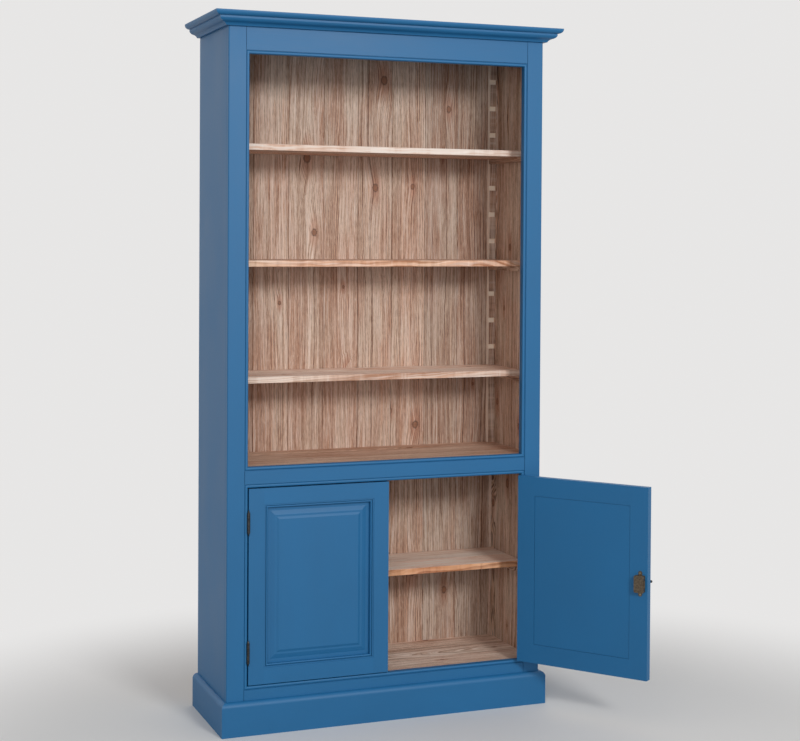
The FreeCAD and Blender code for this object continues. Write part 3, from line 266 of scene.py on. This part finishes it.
def pine_group():
    """Brushed and limewashed pine boards. Places are in millimetres: across the boards, through
    them from Face, and along their grain. Joints lie Board width apart from First joint."""
    group, tree, entry, leave = new_group("washed_pine", {
        "Across": 0.0, "Through": 0.0, "Along": 0.0, "Seed": 0.0, "Board width": 115.0,
        "First joint": 0.0, "Face": 0.0, "Knots": 0.5, "Washing": 0.7, "Joint": 0.2, "Tone": 0.78,
        "Early": colour(217, 188, 166), "Late": colour(120, 86, 66), "Wash": colour(236, 224, 215),
        "Knot": colour(112, 70, 48)},
        {"Color": "NodeSocketColor", "Height": "NodeSocketFloat", "Grain": "NodeSocketFloat"})
    across, along, board = entry["Across"], entry["Along"], entry["Board width"]

    # Each board is cut from its own place in a tree.
    place = tree.over(tree.minus(across, entry["First joint"]), board)
    number = tree.work_out("FLOOR", place)
    seed = tree.plus(tree.times(entry["Seed"], PIECE_STEP), tree.times(number, BOARD_STEP))
    tone, side, deep, growth = random_draw(tree, seed)
    off_centre = tree.minus(place, number, 0.5)
    inside_board = tree.times(off_centre, board)

    # Knots push the rings aside.
    shifted = tree.plus(along, tree.times(growth, BOARD_SHIFT))
    away, flow, radius, present = knots(tree, inside_board, shifted, seed, entry["Knots"])
    ratio = tree.over(flow, tree.times(radius, KNOT_PUSH_REACH))
    push = tree.work_out("EXPONENT", tree.times(tree.square(ratio), -1.0))
    push = tree.times(push, radius, present)
    reach = tree.plus(from_heart(tree, entry, seed, inside_board, side, deep),
                      tree.times(push, KNOT_PUSH))

    # Rings: pale early wood, then a narrow dark line.
    years = tree.noise(tree.vector(tree.times(reach, YEARS_ACROSS), seed, 0.0), 1.0, 2.0)
    ring_width = tree.plus(tree.times(growth, RING_SPREAD), NARROW_RING)
    ring = tree.work_out("FRACT", tree.plus(tree.over(reach, ring_width),
                                            tree.times(years, UNEVEN_YEARS)))
    late = tree.times(tree.steps(ring, 0.3, 0.8), tree.steps(ring, 0.9, 1.0, 1.0, 0.0))

    # Fibres and broad streaks run with the rings, flecks and patches with the board.
    thread = tree.drawn_out(reach, seed, along, THREAD)
    fleck = tree.drawn_out(across, tree.plus(seed, 2.0), along, FLECK)
    streak = tree.drawn_out(reach, tree.plus(seed, 5.0), along, STREAK)
    patch = tree.drawn_out(across, tree.plus(seed, 9.0), along, PATCH)
    grain = tree.plus(tree.times(late, tree.steps(streak, 0.34, 0.64, 0.28, 0.8)),
                      tree.times(tree.steps(thread, 0.42, 0.72), THREAD_DARK),
                      tree.times(tree.steps(fleck, 0.44, 0.68), FLECK_DARK),
                      tree.times(tree.steps(streak, 0.5, 0.8), STREAK_DARK), clamp=True)
    wood = tree.blend(grain, entry["Early"], entry["Late"])
    warm = tree.times(tree.steps(patch, 0.36, 0.62), PATCH_WARM)
    wood = tree.blend(warm, wood, PATCH_COLOUR, "MULTIPLY")

    # The wash stays between the dark lines.
    white = tree.plus(tree.times(tree.steps(thread, 0.58, 0.38), tree.steps(streak, 0.78, 0.3)),
                      tree.times(tree.steps(fleck, 0.44, 0.26), FLECK_WHITE))
    wood = tree.blend(tree.times(white, entry["Washing"], clamp=True), wood, entry["Wash"])
    wood = tree.shaded(wood, tree.plus(tree.times(tone, BOARD_TONES), entry["Tone"]))

    to_joint = tree.times(tree.minus(0.5, tree.work_out("ABSOLUTE", off_centre)), board)
    joint = tree.times(tree.steps(to_joint, 0.4, 1.4, 1.0, 0.0), entry["Joint"])
    wood = tree.blend(joint, wood, JOINT_COLOUR)
    wood, inside = mark_knots(tree, wood, entry["Knot"], away, flow, radius, present)

    tree.feed(leave["Color"], wood)
    height = tree.minus(tree.times(thread, THREAD_RAISED), tree.times(late, LATE_SUNK),
                        tree.times(joint, JOINT_SUNK))
    tree.feed(leave["Height"], tree.plus(height, tree.times(inside, KNOT_RAISED)))
    tree.feed(leave["Grain"], grain)
    return group


def paint_group():
    """Brushed satin paint: soft tone changes, brush marks along the piece, thin over the pores."""
    group, tree, entry, leave = new_group("brushed_paint", {
        "Across": 0.0, "Through": 0.0, "Along": 0.0, "Seed": 0.0, "Paint": colour(18, 99, 150)},
        {"Color": "NodeSocketColor", "Roughness": "NodeSocketFloat", "Height": "NodeSocketFloat"})
    across, along = entry["Across"], entry["Along"]
    seed = tree.times(entry["Seed"], PAINT_STEP)
    marks = tree.drawn_out(across, tree.plus(entry["Through"], seed), along, BRUSH_MARK)
    cloud = tree.drawn_out(across, seed, along, CLOUD)
    pores = tree.steps(tree.drawn_out(across, seed, along, PORE), 0.6, 0.8)
    shade = tree.plus(tree.times(cloud, CLOUD_SHADE), PAINT_SHADE, tree.swing(marks, BRUSH_SHADE))
    shade = tree.minus(shade, tree.times(pores, PORE_SHADE))
    tree.feed(leave["Color"], tree.shaded(entry["Paint"], shade))
    tree.feed(leave["Roughness"], tree.plus(tree.times(cloud, CLOUD_ROUGH), PAINT_ROUGHNESS,
                                            tree.times(marks, BRUSH_ROUGH)))
    tree.feed(leave["Height"], tree.minus(marks, tree.times(pores, PORE_SUNK)))
    return group


def bronze_group():
    """Tarnished cast bronze with small bright scuffs."""
    group, tree, entry, leave = new_group("tarnished_bronze", {
        "Dark": colour(44, 45, 47), "Light": colour(70, 69, 68), "Scuff": colour(126, 116, 100)},
        {"Color": "NodeSocketColor", "Roughness": "NodeSocketFloat", "Height": "NodeSocketFloat"})
    spot = tree.add("ShaderNodeTexCoord").outputs["Object"]
    tarnish = tree.noise(spot, TARNISH_SCALE, 4.0, 0.6)
    scuffs = tree.steps(tree.noise(spot, SCUFF_SCALE, 3.0, 0.7), 0.55, 0.75)
    metal = tree.blend(tree.steps(tarnish, 0.35, 0.65), entry["Dark"], entry["Light"])
    tree.feed(leave["Color"], tree.blend(tree.times(scuffs, SCUFF_SHARE), metal, entry["Scuff"]))
    tree.feed(leave["Roughness"], tree.steps(tarnish, 0.3, 0.7, 0.3, 0.5))
    tree.feed(leave["Height"], tarnish)
    return group


PINE = pine_group()
PAINT = paint_group()
BRONZE = bronze_group()


# ---------------------------------------------------------------- materials

# How deep each surface's marks go, in millimetres.
PINE_RELIEF, PLANED_RELIEF, PAINT_RELIEF, BRONZE_RELIEF = 0.35, 0.3, 0.12, 0.08

# Roughness of the pine from its pale wood to its dark grain.
BOARD_SHEEN, SHELF_SHEEN, STRIP_SHEEN = (0.58, 0.72), (0.55, 0.7), (0.6, 0.75)


def new_material(name):
    material = bpy.data.materials.new(name)
    material.use_nodes = True
    tree = Tree(material.node_tree)
    material.node_tree.nodes.clear()
    shader = tree.add("ShaderNodeBsdfPrincipled")
    output = tree.add("ShaderNodeOutputMaterial")
    material.node_tree.links.new(shader.outputs[0], output.inputs[0])
    return material, tree, shader.inputs


def places(tree, grain, thin):
    """Millimetre places with the grain and the board's thin way picked among X, Y and Z."""
    spot = tree.add("ShaderNodeTexCoord").outputs["Object"]
    parts = dict(zip("XYZ", (tree.times(part, 1.0 / MM) for part in tree.split(spot))))
    broad = ({"X", "Y", "Z"} - {grain, thin}).pop()
    return {"Across": parts[broad], "Through": parts[thin], "Along": parts[grain]}


def use_group(tree, group, **inputs):
    return tree.add("ShaderNodeGroup", {"node_tree": group}, **inputs).outputs


def raise_surface(tree, shader, height, depth_mm):
    bump = tree.add("ShaderNodeBump", Height=height, Strength=1.0, Distance=depth_mm * MM)
    tree.feed(shader["Normal"], bump.outputs[0])


def finish_pine(tree, shader, made, wood, sheen, relief):
    tree.feed(shader["Base Color"], wood)
    tree.feed(shader["Roughness"], tree.steps(made["Grain"], 0.0, 1.0, *sheen))
    raise_surface(tree, shader, made["Height"], relief)


def blue_paint(name, grain="Z", thin="Y", seed=0.0):
    material, tree, shader = new_material(name)
    made = use_group(tree, PAINT, **places(tree, grain, thin), Seed=seed)
    tree.feed(shader["Base Color"], made["Color"])
    tree.feed(shader["Roughness"], made["Roughness"])
    raise_surface(tree, shader, made["Height"], PAINT_RELIEF)
    return material


def washed_pine(name, grain="Z", thin="Y", seed=0.0, **looks):
    material, tree, shader = new_material(name)
    made = use_group(tree, PINE, **places(tree, grain, thin), Seed=seed, **looks)
    finish_pine(tree, shader, made, made["Color"], BOARD_SHEEN, PINE_RELIEF)
    return material


def bronze(name, dark, light, metal=0.85):
    material, tree, shader = new_material(name)
    made = use_group(tree, BRONZE, Dark=colour(*dark), Light=colour(*light))
    tree.feed(shader["Base Color"], made["Color"])
    shader["Metallic"].default_value = metal
    tree.feed(shader["Roughness"], made["Roughness"])
    raise_surface(tree, shader, made["Height"], BRONZE_RELIEF)
    return material


def mm_box(node):
    """A node's lowest and highest corners in millimetres."""
    return [[part / MM for part in corner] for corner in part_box(node)]


def dress(material, *names):
    """Gives each named node this material in place of its plain one."""
    for name in names:
        mesh = nodes[name].data
        mesh.materials.clear()
        mesh.materials.append(material)


# ---------------------------------------------------------------- carcass

SIDE_TONES = {"Early": colour(226, 194, 168), "Late": colour(88, 60, 43), "Knots": 0.9}
SIDE_ROUGHNESS = 0.62
SIDE_PAINT_DEPTH = 2.0  # how far past its inner face a side is painted, in millimetres
SIDE_PAINT_SHARE = 0.35  # the paint's relief as a share of the wood's


def side_board(name, seed, face):
    """Blue on the outer face, washed pine on the face that looks inward."""
    material, tree, shader = new_material(name)
    where = places(tree, "Z", "X")
    wood = use_group(tree, PINE, **where, Seed=seed, Face=face, Joint=0.15, **SIDE_TONES)
    paint = use_group(tree, PAINT, **where, Seed=seed)
    outside = tree.work_out("GREATER_THAN", tree.work_out("ABSOLUTE", where["Through"]),
                            abs(face) + SIDE_PAINT_DEPTH)
    tree.feed(shader["Base Color"], tree.blend(outside, wood["Color"], paint["Color"]))
    bare = tree.minus(1.0, outside)
    tree.feed(shader["Roughness"], tree.plus(tree.times(paint["Roughness"], outside),
                                             tree.times(bare, SIDE_ROUGHNESS)))
    height = tree.plus(tree.times(wood["Height"], bare),
                       tree.times(paint["Height"], outside, SIDE_PAINT_SHARE))
    raise_surface(tree, shader, height, PINE_RELIEF)
    return material


def dress_carcass():
    dress(blue_paint("paint_upright"), "face_stile_left", "face_stile_right",
          "upper_opening_bead", "door_opening_bead")
    dress(blue_paint("paint_level", "X", seed=2.0),
          "header_rail", "middle_rail", "bottom_rail", "cornice_front", "plinth_front")
    dress(blue_paint("paint_return", "Y", "X", seed=4.0),
          "cornice_left", "cornice_right", "plinth_left", "plinth_right")
    dress(blue_paint("paint_top", "X", "Z", seed=6.0), "top_board")
    inner = nodes["cupboard_shelf"].dimensions.x / MM / 2
    dress(side_board("side_board_left", 8.0, -inner), "side_panel_left")
    dress(side_board("side_board_right", 9.0, inner), "side_panel_right")


# ---------------------------------------------------------------- back, shelves and strips

# How a face of a shelf looks: how white its wash is, its early wood and its late wood.
Looks = namedtuple("Looks", "whiteness early late")
# The pale tops' looks are painted light: a whiter wash made paler still, standing in for light
# falling on the tops from above.
PALE_LIT_TOP = Looks(1.0, (250, 238, 228), (206, 178, 160))
BROWN_TOP = Looks(0.5, (212, 180, 156), (142, 105, 82))
FLOOR_TOP = Looks(0.9, (218, 196, 180), (136, 106, 86))
WHITE_EDGE = Looks(1.0, (250, 240, 232), (224, 198, 182))
PALE_EDGE = Looks(0.8, (240, 216, 199), (190, 154, 131))
WARM_EDGE = Looks(0.5, (230, 198, 172), (172, 128, 98))
ORANGE_EDGE = Looks(0.1, (222, 174, 134), (162, 110, 74))

# Each shelf: its seed, the looks of its top and the looks of its front edge.
SHELVES = {
    "upper_shelf_1": (31.0, BROWN_TOP, WHITE_EDGE),
    "upper_shelf_2": (33.6, BROWN_TOP, WARM_EDGE),
    "upper_shelf_3": (35.1, PALE_LIT_TOP, PALE_EDGE),
    "middle_board": (38.3, BROWN_TOP, BROWN_TOP),
    "cupboard_shelf": (40.2, PALE_LIT_TOP, ORANGE_EDGE),
    "cupboard_floor": (43.9, FLOOR_TOP, BROWN_TOP),
}
# Shelves are lifted lighter than the other pine, partly as painted light on their tops.
SHELF_TONE_AND_LIGHT = 1.06
SHELF_KNOTS = 0.3
# The strips' side faces take a whiter wash and their notches show bare wood; both are made paler
# still as painted light.
CHEEK_WASH_AND_LIGHT, NOTCH_BARE_AND_LIGHT, CHEEK_WASH_AND_LIGHT_SHARE = colour(246, 232, 218), colour(250, 236, 220), 0.85
NOTCH_MARGIN = 1.0  # from a strip's front and back to its notches' pale faces, in millimetres
ONE_BOARD = 400.0  # a board width that leaves no joint in a strip


def shelf_pine(name, seed, top, edge):
    """A shelf board, whose front edge may look other than its top; the pale tops are made paler as
    painted light. Its edge has no knots.
    """
    (_, front, _), (_, _, upper) = mm_box(name)
    material, tree, shader = new_material(f"{name}_pine")
    normal = tree.split(tree.add("ShaderNodeNewGeometry").outputs["Normal"])
    facing = tree.work_out("LESS_THAN", normal[1], -0.5)
    washing = tree.plus(tree.times(facing, edge.whiteness - top.whiteness), top.whiteness)
    early = tree.blend(facing, colour(*top.early), colour(*edge.early))
    late = tree.blend(facing, colour(*top.late), colour(*edge.late))
    made = use_group(tree, PINE, **places(tree, "X", "Z"), Seed=seed, First_joint=front, Face=upper,
                     Joint=0.1, Tone=SHELF_TONE_AND_LIGHT, Washing=washing, Early=early, Late=late,
                     Knots=tree.times(tree.minus(1.0, facing), SHELF_KNOTS))
    finish_pine(tree, shader, made, made["Color"], SHELF_SHEEN, PLANED_RELIEF)
    return material


def strip_pine(name):
    """Washed pine, whiter on the faces that look across the shelves and bare inside its notches,
    both made paler still as painted highlight.
    """
    material, tree, shader = new_material(name)
    where = places(tree, "Z", "X")
    made = use_group(tree, PINE, **where, Seed=50.0, Knots=0.0, Joint=0.0, Board_width=ONE_BOARD)
    normal = tree.split(tree.add("ShaderNodeNewGeometry").outputs["Normal"])
    cheek = tree.work_out("GREATER_THAN", tree.work_out("ABSOLUTE", normal[0]), 0.5)
    # Painted light: the side faces are whitened past their wash as a painted highlight.
    wood = tree.blend(tree.times(cheek, CHEEK_WASH_AND_LIGHT_SHARE), made["Color"], CHEEK_WASH_AND_LIGHT)
    notches = 0.0
    for strip in ("shelf_strip_front_left", "shelf_strip_rear_left"):
        (_, front, _), (_, back, _) = mm_box(strip)
        within = tree.work_out("COMPARE", where["Across"], (front + back) / 2,
                               (back - front) / 2 - NOTCH_MARGIN)
        notches = tree.plus(notches, within)
    notches = tree.times(notches, tree.minus(1.0, cheek))
    # Painted light: the notches' bare faces are made paler still as a painted highlight.
    wood = tree.blend(notches, wood, NOTCH_BARE_AND_LIGHT)
    finish_pine(tree, shader, made, wood, STRIP_SHEEN, PLANED_RELIEF)
    return material


def dress_inside():
    back = washed_pine("back_pine", seed=3.0, First_joint=12.5, Face=mm_box("back_board_4")[0][1])
    dress(back, *(f"back_board_{number}" for number in range(1, 9)))
    for name, (seed, top, edge) in SHELVES.items():
        dress(shelf_pine(name, seed, top, edge), name)
    dress(strip_pine("strip_pine"), "shelf_strip_front_left", "shelf_strip_front_right",
          "shelf_strip_rear_left", "shelf_strip_rear_right")
    dress(washed_pine("cleat_pine", "Y", "X", 55.0, Knots=0.0, Washing=0.1, Joint=0.0),
          "upper_shelf_cleats", "cupboard_shelf_cleats")


# ---------------------------------------------------------------- doors and fittings

def dress_doors():
    for side, seed in (("left", 60.0), ("right", 70.0)):
        dress(blue_paint(f"paint_{side}_door_upright", seed=seed), f"{side}_door_hinge_stile",
              f"{side}_door_meeting_stile", f"{side}_door_panel")
        dress(blue_paint(f"paint_{side}_door_level", "X", seed=seed + 1),
              f"{side}_door_top_rail", f"{side}_door_bottom_rail")
    dress(blue_paint("paint_meeting_strip", seed=80.0), "meeting_strip")
    # The hinges and bolt take darker, greyer bronze than the latch: tarnish, with painted shade and
    # a painted reflection of the blue paint in it.
    dress(bronze("hinge_bronze_painted_shade", (44, 45, 47), (68, 67, 66)),
          "hinge_frame_leaves", "hinge_pins", "left_door_hinge_leaves", "right_door_hinge_leaves",
          "barrel_bolt_plate", "barrel_bolt_rod", "turn_knob")
    dress(bronze("latch_bronze", (74, 63, 51), (108, 95, 78), 0.6),
          "latch_case", "knob_rose", "latch_bolt")
    dress(bronze("screw_brass", (112, 100, 80), (158, 144, 118)),
          "hinge_frame_screws", "left_door_screws", "right_door_screws")


# ---------------------------------------------------------------- stage, lights and camera

BACKGROUND = (0.80, 0.792, 0.787, 1.0)
WORLD_LIGHT, WORLD_REFLECTED = 0.56, 1.3

FLOOR_HALF = 14.0
FLOOR_ROUGHNESS = 0.7
FLOOR_GREY, FLOOR_GREY_UNDER = colour(228, 228, 228), colour(168, 168, 168)
FADE_CENTRE = -0.5  # how far in front of the bookcase the fade is centred, as a place in Y
FADE_START, FADE_END = 1.1, 2.2

# Each lamp: its place, what it points at, its width and height, and its power in watts.
LAMPS = {
    "key": ((0.8, -5.8, 3.3), (0, 0, 1.2), (1.2, 1.2), 178.0),
    "fill": ((-3.0, -5.0, 2.2), (0, 0, 1.0), (1.6, 1.6), 45.0),
}
LAMP_TINT = (1.0, 0.985, 0.96)

CAMERA_PLACE = (-1.6956, -4.5320, 1.4596)
CAMERA_YAW, CAMERA_PITCH, CAMERA_ROLL = (math.radians(angle) for angle in (21.65, -1.07, 0.36))
CAMERA_LENS = 72.57
CAMERA_SHIFT = (-0.0283, -0.1316)


def lay_floor():
    """A pale floor that takes the object's shadow and fades into the background further out. It
    throws less light back up than its own colour would."""
    mesh = bpy.data.meshes.new("floor")
    corners = [(-FLOOR_HALF, -FLOOR_HALF, 0), (FLOOR_HALF, -FLOOR_HALF, 0),
               (FLOOR_HALF, FLOOR_HALF, 0), (-FLOOR_HALF, FLOOR_HALF, 0)]
    mesh.from_pydata(corners, [], [(0, 1, 2, 3)])
    floor = bpy.data.objects.new("floor", mesh)
    bpy.context.scene.collection.objects.link(floor)
    material, tree, shader = new_material("pale_floor")
    shader["Roughness"].default_value = FLOOR_ROUGHNESS
    across, deep, _ = tree.split(tree.add("ShaderNodeTexCoord").outputs["Object"])
    far = tree.steps(tree.distance(across, tree.plus(deep, -FADE_CENTRE)), FADE_START, FADE_END)
    path = tree.add("ShaderNodeLightPath").outputs
    seen = tree.larger(path["Is Camera Ray"], path["Is Glossy Ray"], path["Is Transmission Ray"])
    tree.feed(shader["Base Color"],
              tree.blend(path["Is Diffuse Ray"], FLOOR_GREY, FLOOR_GREY_UNDER))
    glow = tree.add("ShaderNodeEmission", Color=BACKGROUND, Strength=1.0)
    mixed = tree.add("ShaderNodeMixShader", Fac=tree.times(far, seen))
    links, output = material.node_tree.links, material.node_tree.nodes["Material Output"]
    links.new(material.node_tree.nodes["Principled BSDF"].outputs[0], mixed.inputs[1])
    links.new(glow.outputs[0], mixed.inputs[2])
    links.new(mixed.outputs[0], output.inputs[0])
    mesh.materials.append(material)


def light_world():
    """Soft light from all round; the camera and reflections see a plain pale background."""
    world = bpy.data.worlds.new("studio")
    bpy.context.scene.world = world
    world.use_nodes = True
    tree = Tree(world.node_tree)
    world.node_tree.nodes.clear()
    path = tree.add("ShaderNodeLightPath").outputs
    seen = tree.times(path["Is Camera Ray"], 1.0 - WORLD_LIGHT)
    mirrored = tree.larger(path["Is Glossy Ray"], path["Is Transmission Ray"])
    level = tree.plus(seen, WORLD_LIGHT, tree.times(mirrored, WORLD_REFLECTED - WORLD_LIGHT))
    back = tree.add("ShaderNodeBackground", Color=BACKGROUND, Strength=level)
    output = tree.add("ShaderNodeOutputWorld")
    world.node_tree.links.new(back.outputs[0], output.inputs[0])


def area_light(name, at, towards, size, power):
    light = bpy.data.lights.new(name, "AREA")
    light.shape = "RECTANGLE"
    light.size, light.size_y = size
    light.energy = power
    light.color = LAMP_TINT
    lamp = bpy.data.objects.new(name, light)
    lamp.location = at
    lamp.rotation_euler = (Vector(towards) - Vector(at)).to_track_quat("-Z", "Y").to_euler()
    bpy.context.scene.collection.objects.link(lamp)


def set_camera():
    data = bpy.data.cameras.new("camera")
    data.lens = CAMERA_LENS
    data.shift_x, data.shift_y = CAMERA_SHIFT
    forward = Vector((math.sin(CAMERA_YAW) * math.cos(CAMERA_PITCH),
                      math.cos(CAMERA_YAW) * math.cos(CAMERA_PITCH), math.sin(CAMERA_PITCH)))
    right = Vector((math.cos(CAMERA_YAW), -math.sin(CAMERA_YAW), 0))
    up = right.cross(forward)
    turned_right = right * math.cos(CAMERA_ROLL) + up * math.sin(CAMERA_ROLL)
    turned_up = up * math.cos(CAMERA_ROLL) - right * math.sin(CAMERA_ROLL)
    camera = bpy.data.objects.new("camera", data)
    camera.matrix_world = Matrix.Translation(CAMERA_PLACE) @ Matrix(
        (turned_right, turned_up, -forward)).transposed().to_4x4()
    bpy.context.scene.collection.objects.link(camera)
    bpy.context.scene.camera = camera


bpy.context.scene.view_settings.view_transform = "Standard"
set_camera()
light_world()
for lamp_name, lamp_facts in LAMPS.items():
    area_light(lamp_name, *lamp_facts)
lay_floor()
dress_carcass()
dress_inside()
dress_doors()
